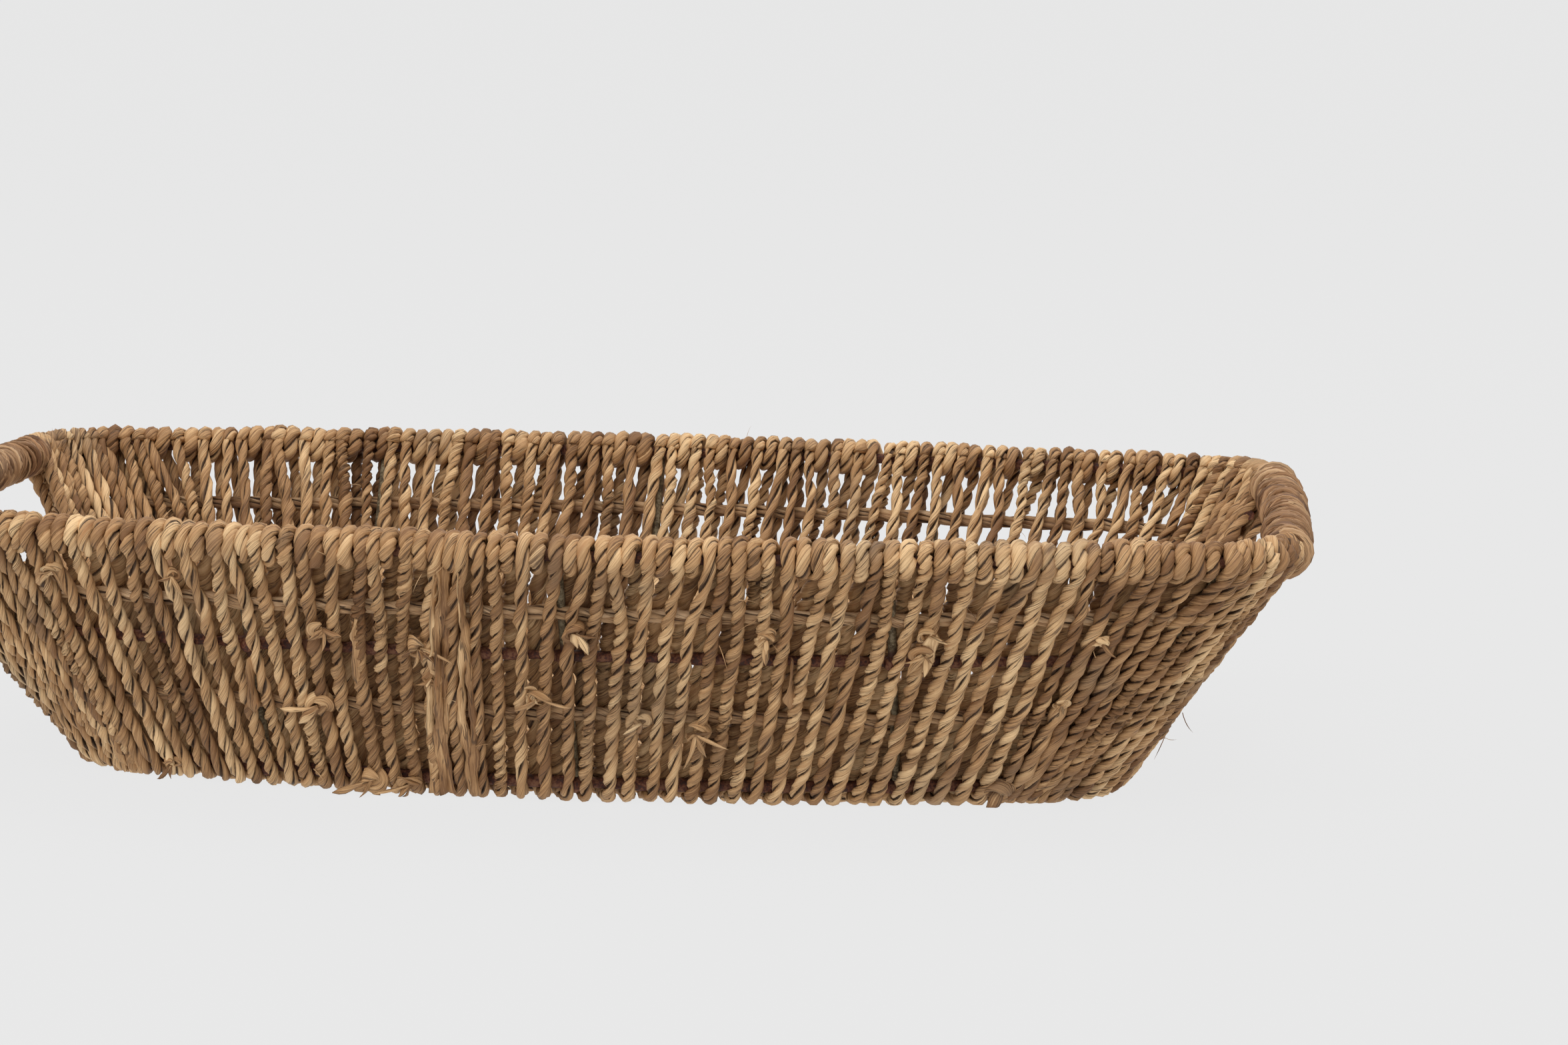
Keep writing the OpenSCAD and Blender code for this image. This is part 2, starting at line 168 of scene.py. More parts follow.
class Strands:
    """Swept strands gathered into one mesh. Each has a fibre map in millimetres around and along,
    and a place in the bake map, where all strands are laid end to end in rows."""

    def __init__(self, seed):
        self.dice = np.random.default_rng(seed)
        self.places, self.faces, self.caps = [], [], []
        self.crease, self.tint = [], []
        self.count = 0     # points so far
        self.laid = 0.0    # length so far in the bake map
        self.girth = 0.0   # of the thickest strand

    def sweep(self, path, away, pitch=TWIST, plies=2, wide=1.5, thick=1.08, offset=1.02, sides=9,
              tint=None, ridge=0.09, roll=0.3, taper=(1, 1), start_turn=None, spin=0.25):
        """Lays plies round path. away points from the wall; pitch, wide and thick may vary along it."""
        dice = self.dice
        run = travelled(path)
        along = unit(np.gradient(path, axis=0))
        across = unit(np.cross(along, away))
        away = np.cross(across, along)
        turn = dice.uniform(0, 2 * math.pi) if start_turn is None else start_turn
        pitch = np.broadcast_to(pitch, run.shape)
        turn = turn + np.concatenate([[0], np.cumsum(2 * math.pi * np.diff(run) / pitch[1:])])
        turn = turn + spin * wander(dice, run, 22)
        own = dice.uniform(0, 1) if tint is None else tint
        end = np.interp(run, [0, 2.5, run[-1] - 2.5, run[-1]], [taper[0], 1, 1, taper[1]])
        for ply in range(plies):
            angle = turn + 2 * math.pi * ply / plies
            radial = np.cos(angle)[:, None] * away + np.sin(angle)[:, None] * across
            around = -np.sin(angle)[:, None] * away + np.cos(angle)[:, None] * across
            tip = roll * wander(dice, run, 15)[:, None]
            leaf_out = radial * np.cos(tip) + around * np.sin(tip)
            leaf_side = around * np.cos(tip) - radial * np.sin(tip)
            full = end * (1 + 0.15 * wander(dice, run, 9)) * (1 + 0.06 * dice.standard_normal())
            centre = path + radial * (offset * end)[:, None]
            ring, marks = [], []
            for j in range(sides):
                a = 2 * math.pi * j / sides
                deep, broad = math.cos(a), math.sin(a)
                # Painted shade, per point: darkest on the side of a ply that faces the other ply, where the
                # two press together
                marks.append(min(max(deep / 0.6, 0.0), 1.0) if plies > 1 else 0.0)
                if plies > 1 and deep > 0:  # the side towards the other ply is pressed flatter
                    deep = deep ** 0.75
                fold = full * (1 + ridge * wander(dice, run, 11) * (0.3 if math.cos(a) > 0.5 else 1))
                ring.append(centre - leaf_out * (thick * deep * fold)[:, None]
                            + leaf_side * (wide * broad * fold)[:, None])
            ring = np.stack(ring, 1)
            ring[..., 2] = np.maximum(ring[..., 2], 0.0)  # pressed flat where it stands
            shade = own + 0.3 * wander(dice, run + dice.uniform(0, 900), 26) + dice.uniform(-0.15, 0.15)
            self._skin(ring, run, marks, shade, math.pi * (np.mean(wide) + np.mean(thick)))

    def _skin(self, ring, run, marks, tint, girth):
        """Joins a ply's rings with quads, closes its ends and lays out both maps."""
        rows, sides = ring.shape[:2]
        base = self.count + np.arange(rows * sides).reshape(rows, sides)
        here, there = base[:-1], base[1:]
        quads = np.stack([here, there, np.roll(there, -1, 1), np.roll(here, -1, 1)], -1).reshape(-1, 4)
        self.places.append(ring.reshape(-1, 3))
        self.count += rows * sides
        self.crease.append(np.tile(marks, rows))
        self.tint.append(np.repeat(tint, sides))
        shift = self.dice.uniform(0, 900)
        start, low = np.meshgrid(run[:-1], np.arange(sides) * girth / sides, indexing="ij")
        stop, high = np.meshgrid(run[1:], (np.arange(sides) + 1) * girth / sides, indexing="ij")
        corners = np.stack([low, start, low, stop, high, stop, high, start], -1).reshape(-1, 4, 2)
        fibre = corners + [0, shift]
        laid = corners[..., ::-1] * [1, 1 / girth] + [self.laid, 0]
        self.faces.append((quads, fibre, laid))
        cap = np.arange(sides) * 2 * math.pi / sides
        disc = np.stack([0.5 * np.cos(cap), 0.5 + 0.3 * np.sin(cap)], 1)
        own = np.stack([0.4 * np.cos(cap), 0.4 * np.sin(cap) + shift], 1)
        self.caps.append((base[0].tolist(), own, disc + [self.laid - CAP_SPACE, 0]))
        self.caps.append((base[-1][::-1].tolist(), own, disc + [self.laid + run[-1] + CAP_SPACE, 0]))
        self.laid += run[-1] + 2 * MAP_SPACE
        self.girth = max(self.girth, girth)

    def mesh(self, name):
        """Makes the object, with rows of the bake map as high as a strand is round."""
        places = np.concatenate(self.places) * MM
        quads = np.concatenate([q for q, _, _ in self.faces])
        fibre = np.concatenate([f for _, f, _ in self.faces]).reshape(-1, 2)
        laid = np.concatenate([spots for _, _, spots in self.faces])
        row = math.sqrt(self.laid * self.girth)
        rows = math.ceil((self.laid + 4) / row) + 1

        def settle(spots):
            line = np.floor((spots[:, :1, 0] + MAP_SPACE) / row)
            x = (spots[..., 0] + MAP_SPACE - line * row) / (row * 1.02)
            y = (line + 0.06 + 0.88 * spots[..., 1]) / rows
            return np.stack([x, y], -1).reshape(-1, 2)

        faces = quads.tolist() + [c[0] for c in self.caps]
        mesh = bpy.data.meshes.new(name)
        mesh.from_pydata(places.tolist(), [], faces)
        fibre = np.concatenate([fibre] + [c[1] for c in self.caps])
        bake = np.concatenate([settle(laid)] + [settle(c[2][None]) for c in self.caps])
        for label, spots in (("Fibre", fibre), ("OFBake", bake)):
            layer = mesh.uv_layers.new(name=label)
            layer.data.foreach_set("uv", spots.astype(np.float32).ravel())
        # Point attributes: painted shade between the plies, and each ply's own random tone
        for label, values in (("crease", self.crease), ("tint", self.tint)):
            mark = mesh.attributes.new(label, "FLOAT", "POINT")
            mark.data.foreach_set("value", np.concatenate(values).astype(np.float32))
        mesh.polygons.foreach_set("use_smooth", [True] * len(mesh.polygons))
        mesh.update()
        piece = bpy.data.objects.new(name, mesh)
        bpy.context.collection.objects.link(piece)
        return piece


def settle_piece(piece, slot, finish, *nodes):
    """Gives a piece its material and its body, and hides the CAD nodes that it stands for."""
    piece.data.materials.clear()
    piece.data.materials.append(finish)
    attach(piece, "root")
    if nodes:
        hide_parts(*nodes)


# ---------------------------------------------------------------- finishes
class Wire:
    """A socket. Sums on it add Math nodes."""

    def __init__(self, finish, socket):
        self.finish, self.socket = finish, socket

    def _sum(self, how, a, b):
        return self.finish.node("Math", {"operation": how}, {0: a, 1: b})

    def __add__(self, other):
        return self._sum("ADD", self, other)

    def __radd__(self, other):
        return self._sum("ADD", other, self)

    def __sub__(self, other):
        return self._sum("SUBTRACT", self, other)

    def __rsub__(self, other):
        return self._sum("SUBTRACT", other, self)

    def __mul__(self, other):
        return self._sum("MULTIPLY", self, other)

    def __rmul__(self, other):
        return self._sum("MULTIPLY", other, self)

    def __abs__(self):
        return self._sum("ABSOLUTE", self, 0.0)


class Finish:
    """A material under construction."""

    def __init__(self, name):
        self.material = bpy.data.materials.new(name)
        self.material.use_nodes = True
        self.tree = self.material.node_tree
        self.shader = self.tree.nodes["Principled BSDF"]

    def node(self, kind, settings=None, inputs=None, out=0):
        """Adds a node: its settings first, then the values or links of its sockets."""
        made = self.tree.nodes.new("ShaderNode" + kind)
        for key, value in (settings or {}).items():
            if key == "stops":
                ramp = made.color_ramp
                while len(ramp.elements) < len(value):
                    ramp.elements.new(1.0)
                for stop, (place, colour) in zip(ramp.elements, value):
                    stop.position, stop.color = place, (*colour, 1)
            else:
                setattr(made, key, value)
        for key, value in (inputs or {}).items():
            if isinstance(value, Wire):
                self.tree.links.new(value.socket, made.inputs[key])
            else:
                made.inputs[key].default_value = value
        return Wire(self, made.outputs[out])

    def stretched(self, source, scale):
        """A vector scaled by its own amount along each axis."""
        return self.node("VectorMath", {"operation": "MULTIPLY"}, {0: source, 1: scale})

    def noise(self, vector, scale=1.0, detail=2.0, rough=0.5):
        return self.node("TexNoise", {},
                         {"Vector": vector, "Scale": scale, "Detail": detail, "Roughness": rough})

    def band(self, value, low, high):
        """0 below low, 1 above high, smooth between them. With low above high it is turned round."""
        return self.node("MapRange", {"interpolation_type": "SMOOTHSTEP"},
                         {"Value": value, "From Min": low, "From Max": high})

    def blend(self, factor, a, b):
        return self.node("Mix", {"data_type": "RGBA"}, {0: factor, 6: a, 7: b}, 2)

    def ramp(self, value, stops):
        return self.node("ValToRGB", {"stops": stops}, {"Fac": value})

    def surface(self, links, height=None, distance=0.0002, strength=0.6, **fixed):
        for key, value in fixed.items():
            self.shader.inputs[key.replace("_", " ")].default_value = value
        for key, value in links.items():
            self.tree.links.new(value.socket, self.shader.inputs[key])
        if height is not None:
            bump = self.node("Bump", {}, {"Height": height, "Distance": distance, "Strength": strength})
            self.tree.links.new(bump.socket, self.shader.inputs["Normal"])
        return self.material


def seagrass(name, dark, mid, straw, fold_across=0.95, dull=0.5):
    """Dried leaf: long folds, fine fibres, straw and rusty streaks, and painted shade: dark where two leaves
    meet and along the folds.
    """
    f = Finish(name)
    fibre = f.node("UVMap", {"uv_map": "Fibre"})
    place = f.node("TexCoord", {}, {}, 3)
    crease = f.node("Attribute", {"attribute_name": "crease"}, {}, 2)
    tint = f.node("Attribute", {"attribute_name": "tint"}, {}, 2)
    broad = f.noise(f.stretched(fibre, (0.35, 0.035, 1.0)), 1.0, 2.0)
    fold = f.noise(f.stretched(fibre, (fold_across, 0.035, 1.0)), 1.0, 1.0)
    streak = f.noise(f.stretched(fibre, (2.2, 0.05, 1.0)), 1.0, 3.0, 0.6)
    fine = f.noise(f.stretched(fibre, (6.5, 0.2, 1.0)), 1.0, 3.0, 0.65)
    patch = f.noise(place, 45.0, 2.0)
    kept = f.band(f.noise(f.stretched(fibre, (0.25, 0.12, 1.0)), 1.0, 1.0), 0.40, 0.50)
    # Fold lines: a thin line along each fold where kept, darkened below as painted shade in the fold and sunk
    # in by the bump
    line = f.band(abs(fold - 0.5), 0.026, 0.006) * kept
    split = f.band(streak, 0.64, 0.76)
    level = tint * 0.5 + broad * 0.8 + patch * 0.35 + streak * 0.8 + fine * 0.9 - 1.2
    colour = f.ramp(level, [(0.12, dark), (0.5, mid), (0.9, straw)])
    rusty = f.band(f.noise(f.stretched(fibre, (0.5, 0.06, 1.0)), 1.3, 2.0), 0.62, 0.76)
    colour = f.blend(rusty * 0.5, colour, (0.36, 0.14, 0.04, 1))
    grey = f.band(f.noise(place, 28.0, 3.0), 0.52, 0.72)
    colour = f.blend(grey * 0.4, colour, (0.25, 0.185, 0.115, 1))
    colour = f.blend(split * 0.5, colour, (0.15, 0.08, 0.035, 1))
    # Painted shade along the fold lines
    colour = f.blend(line * 0.75, colour, (0.07, 0.033, 0.014, 1))
    # Painted shade: near black where two plies meet, standing in for the shadow between them
    colour = f.blend(f.band(crease, 0.36, 0.95) * 0.94, colour, (0.04, 0.017, 0.006, 1))
    height = streak * 0.7 + fine * 0.5 + broad * 0.4 - line * 0.6
    rough = dull + streak * 0.25 - tint * 0.06
    return f.surface({"Base Color": colour, "Roughness": rough}, height, 0.0003, 0.9,
                     Specular_IOR_Level=0.42)


def rusty_wire(name, steel, rust, crust, burnt=None):
    """Bare steel wire rusted all over: a crust of brown and dark red with pits. An upright's top
    is burnt dark red by its weld."""
    f = Finish(name)
    place = f.node("TexCoord", {}, {}, 3)
    coarse = f.noise(place, 260.0, 4.0)
    fine = f.noise(place, 1300.0, 3.0)
    colour = f.ramp(coarse * 0.5 + fine * 0.5, [(0.44, crust), (0.5, rust), (0.57, steel)])
    if burnt:
        height = f.node("SeparateXYZ", {}, {0: place}, 2)
        ends = f.band(height, 0.0355, 0.038) * f.band(height, 0.049, 0.047)
        colour = f.blend(ends * 0.85, colour, burnt)
    rough = 0.55 + fine * 0.4
    return f.surface({"Base Color": colour, "Roughness": rough}, coarse * 0.6 + fine * 0.4, 0.0004, 0.7)


SEAGRASS = seagrass("seagrass_rope", (0.215, 0.10, 0.036), (0.50, 0.28, 0.121), (0.84, 0.57, 0.30))
GRIP = seagrass("grip_strands", (0.16, 0.07, 0.028), (0.39, 0.21, 0.096), (0.66, 0.42, 0.225),
                fold_across=1.6, dull=0.55)
TWINE = seagrass("twine", (0.24, 0.12, 0.05), (0.52, 0.31, 0.15), (0.78, 0.53, 0.31),
                 fold_across=1.8, dull=0.55)
RUST = rusty_wire("rusty_wire", (0.20, 0.085, 0.04), (0.12, 0.03, 0.011), (0.045, 0.012, 0.005))
RIB = rusty_wire("rib_wire", (0.25, 0.20, 0.12), (0.17, 0.125, 0.065), (0.075, 0.05, 0.022),
                 (0.075, 0.022, 0.012, 1))

for name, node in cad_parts.items():
    finish = RIB if name.startswith(("rib_", "corner_post")) else RUST
    node.data.materials.clear()
    node.data.materials.append(finish)


# ---------------------------------------------------------------- the wound ropes
def arc_points(share, wire_gap, start, stop, u_start, u_stop, bulge=0.0):
    """Part of a turn round a wire, from outside over the top. It moves along mostly under the wire."""
    turn = np.linspace(start, stop, max(4, int(abs(stop - start) * wire_gap / 0.6)))
    under = np.cumsum(np.clip(-np.sin(turn), 0, None) + 0.12)
    under = (under - under[0]) / (under[-1] - under[0])
    middle, out, up = wall(share, u_start + (u_stop - u_start) * under)
    away = np.cos(turn)[:, None] * out + np.sin(turn)[:, None] * up
    reach = wire_gap + bulge * np.clip(np.sin(turn), 0, 1)
    return middle + away * reach[:, None], away


def run_points(top_share, u_base, u_even, u_top, side, dice, wire_gap):
    """A run up the outer (side 1) or inner (side -1) face of the wall. It heads for u_even, and bends
    to its own place u_top on the wire just below it. It lies closer on the ends and round the corners."""
    part = np.linspace(0, 1, 60)
    run = part * WALL_SLANT
    bend = np.clip((part - 1 + BEND_PART) / BEND_PART, 0, 1)
    bend = bend * bend * (3 - 2 * bend)
    ease = np.sin(math.pi * part) ** 0.5
    drift = 0.0011 * wander(dice, run, 34) * ease
    u = u_base + (u_even - u_base) * part + (u_top - u_even) * bend + drift
    middle, out, _ = wall(top_share * part, u)
    turned = abs((u_base + 1) % 2 - 1) < CORNER_SHARE
    rest = RUN_D - (0.9 if turned else 0.15)
    depth = rest + (wire_gap - rest) * np.abs(2 * part - 1) ** 4 + 0.25 * wander(dice, run, 25) * ease
    return middle + out * (side * depth)[:, None], out * side


class Winding:
    """Ropes wound round a stretch of wall: rows of loops from the base wire over a top wire.

    openness places the inner ropes, in half pitches: 0 midway between outer ones, 1 right behind them.
    """

    def __init__(self, outer, inner, top_share, top_gap, base_span, top_span, top_pitch, seed,
                 openness=lambda part: 0.1, size=lambda part: 1.0, inner_size=1.15, fan=()):
        self.dice = np.random.default_rng(seed)
        self.inner_size = inner_size
        self.outer, self.inner = outer, inner
        self.top_share, self.top_gap = top_share, top_gap
        base, top = Edge(0.0, *base_span), Edge(top_share, *top_span)
        loops = int(round(base.length / BASE_PITCH))
        slots = max(loops, int(round(top.length / top_pitch)))
        below = [0, *(base.length / 2 + b for _, b in fan), base.length]
        above = [0, *(top.length / 2 + t for t, _ in fan), top.length]

        def foot(place):
            return base.at(np.interp(place * top.length / loops, above, below))

        marks = np.arange(loops + 1) * slots / loops
        marks[1:-1] += self.dice.uniform(-0.4, 0.4, loops - 1)
        wraps = np.maximum(1, np.diff(np.round(marks)).astype(int))
        slots = int(wraps.sum())
        slot_pitch = top.length / slots
        first = np.concatenate([[0], np.cumsum(wraps)[:-1]])
        tops = [(first[k] + 0.5 + 0.16 * self.dice.uniform(-1, 1)) * slot_pitch for k in range(loops)]
        zone = self.dice.uniform(0, 6.3)
        for k in range(loops):
            gape = openness(k / loops) + 0.12 * math.sin(zone + 11 * k / loops)
            down = k + DOWN_PLACE - 0.5 * gape
            even_up = (k + UP_PLACE + 0.06 * self.dice.uniform(-1, 1)) * top.length / loops
            even_down = down * top.length / loops
            start = foot(k + UP_PLACE + 0.1 * self.dice.uniform(-1, 1))
            stop = foot(down + 0.08 * self.dice.uniform(-1, 1))
            last = tops[k] + (wraps[k] - 1) * slot_pitch
            fall = last + 0.25 * (1 - gape) * slot_pitch
            self.loop(foot(k), start, top.at(even_up), top.at(tops[k]), top.at(last),
                      top.at(fall), top.at(even_down), stop, foot(k + 1), wraps[k],
                      size(k / loops))

    def loop(self, u_in, u_up, u_even_up, u_a, u_b, u_fall, u_even_down, u_down, u_out, wraps, size):
        """One turn: under the base wire, up outside, its wraps from u_a to u_b, and down inside."""
        dice, gap = self.dice, self.top_gap
        base_gap = RIM_WIRE_R + ROPE_R
        tint = dice.uniform(0, 1)
        bulge = dice.uniform(0.2, 0.9)
        under = arc_points(0.0, base_gap, -math.pi / 2, 0, u_in, u_up)
        rise = run_points(self.top_share, u_up, u_even_up, u_a, 1, dice, gap)
        over = [arc_points(self.top_share, gap, 0, math.pi * (2 * wraps - 1.5), u_a, u_b, bulge)]
        over.append(arc_points(self.top_share, gap, 0.5 * math.pi, math.pi, u_b, u_fall, bulge))
        fall = [p[::-1] for p in run_points(self.top_share, u_down, u_even_down, u_fall, -1, dice, gap)]
        back = arc_points(0.0, base_gap, -math.pi, -math.pi / 2, u_down, u_out)
        twist = TWIST * dice.uniform(0.7, 1.4)
        size *= dice.uniform(0.92, 1.12)
        self.lay(self.outer, (under, rise, *over), tint, twist, size, True)
        self.lay(self.inner, (fall, back), tint, twist, size * self.inner_size, False)

    def lay(self, strands, parts, tint, twist, size, wraps):
        """Joins the parts of a path and twists a rope along it, fatter where it wraps the top wire."""
        path = np.concatenate([parts[0][0]] + [p[0][1:] for p in parts[1:]])
        away = np.concatenate([parts[0][1]] + [p[1][1:] for p in parts[1:]])
        path, away, run = even(path, away, STEP)
        on_top = np.clip((path[:, 2] - (BASE_Z + RISE * self.top_share - 4)) / 4, 0, 1) * wraps
        pitch = twist * np.exp(0.28 * wander(self.dice, run, 36)) * (1 - 0.1 * on_top)
        full = size * (1 + 0.26 * on_top)
        strands.sweep(path, away, pitch=np.maximum(pitch, 7), tint=tint, wide=1.27 * full, thick=full,
                      offset=0.88, ridge=0.13, roll=0.22)


def long_side(name, middle, seed, openness, size, inner_size, fan):
    """The front or the back: one winding from corner post to corner post."""
    outer, inner = Strands(seed), Strands(seed + 1)
    span = (middle - 1 + POST_SHARE - LAP, middle + 1 - POST_SHARE + LAP)
    Winding(outer, inner, 1.0, RIM_WIRE_R + ROPE_R, span, span, RIM_PITCH, seed + 2, openness, size,
            inner_size, fan)
    settle_piece(outer.mesh(name + "_outer_ropes"), "seagrass_rope", SEAGRASS,
                 "outer_ropes_" + name, "rim_wrap_" + name, "base_edge_" + name)
    settle_piece(inner.mesh(name + "_inner_ropes"), "seagrass_rope", SEAGRASS, "inner_ropes_" + name)


def short_end(name, middle, seed):
    """A winding beside each edge of the hand hole, and a low one over its sill."""
    outer, inner = Strands(seed), Strands(seed + 1)
    edge = HOLE_SHARE - 0.004
    grip_end = END_SHARE - 0.012
    gap = RIM_WIRE_R + ROPE_R
    near, far = middle - POST_SHARE, middle + POST_SHARE
    sill = (middle - edge, middle + edge)
    Winding(outer, inner, 1.0, gap, (near, middle - edge), (near, middle - grip_end), RIM_PITCH, seed + 2)
    Winding(outer, inner, MIDDLE_SHARE, MIDDLE_WIRE_R + ROPE_R, sill, sill, SILL_PITCH, seed + 3)
    Winding(outer, inner, 1.0, gap, (middle + edge, far), (middle + grip_end, far), RIM_PITCH, seed + 4)
    settle_piece(outer.mesh(name + "_outer_ropes"), "seagrass_rope", SEAGRASS, "outer_ropes_" + name,
                 "base_edge_" + name, "sill_wrap_" + name, "rim_corner_wrap_front_" + name,
                 "rim_corner_wrap_back_" + name)
    settle_piece(inner.mesh(name + "_inner_ropes"), "seagrass_rope", SEAGRASS, "inner_ropes_" + name)


# From left to right, the front's inner ropes shift steadily against its outer ones
long_side("front", FRONT, 10, lambda part: 2.0 - 3.6 * part, lambda part: 1.06, 1.42, FAN)
long_side("back", BACK, 20, lambda part: np.interp(part, BACK_PARTS, BACK_GAPES),
          lambda part: np.interp(part, [0.3, 0.6], [0.88, 1.06]), 1.0,
          [(-top, -low) for top, low in FAN[::-1]])
short_end("right", RIGHT, 30)
short_end("left", LEFT, 40)


# ---------------------------------------------------------------- grips
def grip(name, middle, seed):
    """Fine strands wound close round the rim wire: a tight bed, and looser ones over it."""
    strands = Strands(seed)
    dice = strands.dice
    edge = Edge(1.0, middle - END_SHARE + 0.004, middle + END_SHARE - 0.004)
    bed_reach, loose_strands = 4.7, 380
    turns = edge.length / 5.2
    for k in range(4):
        turn = np.arange(0, turns * 2 * math.pi, 0.3) + k * math.pi / 2
        along = (turn - k * math.pi / 2) / (turns * 2 * math.pi) * edge.length
        core, out, up = wall(1.0, edge.at(along + 0.5 * wander(dice, turn, 9)))
        away = np.cos(turn)[:, None] * out + np.sin(turn)[:, None] * up
        path = core + away * (bed_reach + 0.2 * wander(dice, turn, 5))[:, None]
        strands.sweep(path, away, pitch=400.0, plies=1, wide=1.0, thick=0.62, offset=0.0, sides=7,
                      start_turn=0.0, spin=0.15, roll=0.2)
    for k in range(loose_strands):
        centre = dice.uniform(0, 1) * edge.length
        tilt = dice.normal(3.0, 9.0)
        begin, sweep = dice.uniform(0, 2 * math.pi), dice.uniform(0.6, 1.25) * 2 * math.pi
        turn = np.linspace(begin, begin + sweep, int(sweep / 0.3))
        along = centre + tilt * (turn - turn[0]) / sweep + 0.7 * wander(dice, turn, 2.5)
        along = np.clip(along, 0.3, edge.length - 0.3)
        core, out, up = wall(1.0, edge.at(along))
        away = np.cos(turn)[:, None] * out + np.sin(turn)[:, None] * up
        lift = bed_reach + 0.4 + 1.15 * dice.uniform(0, 1) ** 1.5 * np.sin(np.linspace(0, math.pi, len(turn)))
        lift = lift + 0.45 * np.sin(0.55 * along + 1.3 * np.sin(turn)) * np.cos(0.21 * along + turn)
        path = core + away * (lift - 1.1 * np.abs(np.linspace(-1, 1, len(turn))) ** 6)[:, None]
        size = dice.uniform(0.3, 1.0) if k % 4 else dice.uniform(1.1, 2.1)
        strands.sweep(path, away, pitch=400.0, plies=1, wide=0.95 * size, thick=0.5 * size, offset=0.0,
                      sides=6, start_turn=dice.normal(0, 0.3), taper=(0.3, 0.3), spin=0.3, roll=0.3)
    settle_piece(strands.mesh(name + "_grip"), "grip_strands", GRIP, "grip_wrap_" + name)


grip("right", RIGHT, 50)
grip("left", LEFT, 60)


# ---------------------------------------------------------------- twine rows, wires
def twine_row(name, node, share, spans, seed):
    """Two twines, one above the other, between the inner and the outer ropes."""
    strands = Strands(seed)
    for start, stop in spans:
        edge = Edge(share, start, stop)
        run = np.arange(0, edge.length, 1.3)
        middle, out, up = wall(share, edge.at(run))
        path = middle + out * (0.7 + 0.3 * wander(strands.dice, run, 12))[:, None]
        path = path + up * (0.3 * wander(strands.dice, run, 30))[:, None]
        for level in (-0.85, 0.85):
            strands.sweep(path + up * level, out, pitch=26.0, wide=1.0, thick=0.75, offset=0.55, sides=8)
    settle_piece(strands.mesh(name), "twine", TWINE, node)


twine_row("upper_twine", "upper_twine_row", UPPER_TWINE_SHARE, [(0.23, 1.77), (2.23, 3.77)], 70)
twine_row("lower_twine", "lower_twine_row", LOWER_TWINE_SHARE, [(0.0, 1.999), (2.0, 3.999)], 80)


def round_wire(name, node, share, radius):
    """A closed ring of drawn wire, a little out of true."""
    strands = Strands(90)
    edge = Edge(share, 0.0, 4.0)
    u = edge.at(np.linspace(0, edge.length, int(edge.length / 2.5)))
    middle, out, up = wall(share, u)
    strands.sweep(middle, out, pitch=1e6, plies=1, wide=radius, thick=radius, offset=0.0, sides=14,
                  ridge=0.012, roll=0.0, spin=0.0)
    settle_piece(strands.mesh(name), "rusty_wire", RUST, node)


round_wire("middle_ring", "middle_wire", MIDDLE_SHARE, MIDDLE_WIRE_R)
round_wire("base_ring", "base_wire", 0.0, RIM_WIRE_R)


# ---------------------------------------------------------------- floor
def base_edge():
    """The right back quarter of the base wire's outline."""
    x, y, _, _ = outline(0.0, np.linspace(0, 1, 400))
    return x, y


def floor_ropes():
    """Rope laid lengthwise: each turn runs along below the ribs and back above them."""
    low, high = 2.15, 8.6
    pitch, step = 4.25, 1.75
    halves = {"front": Strands(100), "back": Strands(101)}
    edge_x, edge_y = base_edge()
    mirror = np.array([-1, 1, 1])
    turn = np.linspace(-math.pi / 2, math.pi / 2, 9)[1:-1]
    bend = np.stack([np.cos(turn), 0 * turn, np.sin(turn)], 1)
    radius = (high - low) / 2
    count = int((BASE_OVAL[1] - 6.0) * 2 / pitch)
    for k in range(count):
        y = (k + 0.5 - count / 2) * pitch
        reach = np.interp(abs(y), edge_y, edge_x) - FLOOR_ROOM
        x = np.arange(-reach, reach, 3.0)
        lower = np.stack([x, y + 0 * x, low + 0 * x], 1)
        upper = np.stack([-x, y + 0 * x, high + 0 * x], 1)
        right = radius * bend + [reach, y, low + radius]
        path = np.concatenate([lower, right, upper, (right * mirror)[::-1]])
        down, up = np.tile([0, 0, -1.0], (len(x), 1)), np.tile([0, 0, 1.0], (len(x), 1))
        away = np.concatenate([down, bend, up, (bend * mirror)[::-1]])
        path, away, run = even(path, away, step)
        strands = halves["front" if y < 0 else "back"]
        path[:, 1] += 0.3 * wander(strands.dice, run, 60)
        strands.sweep(path, away, pitch=TWIST * strands.dice.uniform(0.85, 1.3), sides=7, wide=1.35)
    settle_piece(halves["front"].mesh("floor_ropes_front"), "seagrass_rope", SEAGRASS, "floor_lower_ropes")
    settle_piece(halves["back"].mesh("floor_ropes_back"), "seagrass_rope", SEAGRASS, "floor_upper_ropes")


def floor_twine():
    """Pairs of twines laid across, between the lower and the upper ropes."""
    strands = Strands(110)
    edge_x, edge_y = base_edge()
    for x in (-97.25, -44.0, 44.0, 97.25):
        reach = np.interp(-abs(x), -edge_x, edge_y) - 6.0
        y = np.arange(-reach, reach, 1.4)
        path = np.stack([x + 0 * y, y, BASE_Z + 0 * y], 1)
        away = np.tile([0, 0, 1.0], (len(y), 1))
        for side in (-0.9, 0.9):
            strands.sweep(path + [side, 0, 0], away, pitch=26.0, wide=0.9, thick=0.7, offset=0.5, sides=7)
    settle_piece(strands.mesh("floor_twine"), "twine", TWINE, "floor_twine_rows")


floor_ropes()
floor_twine()


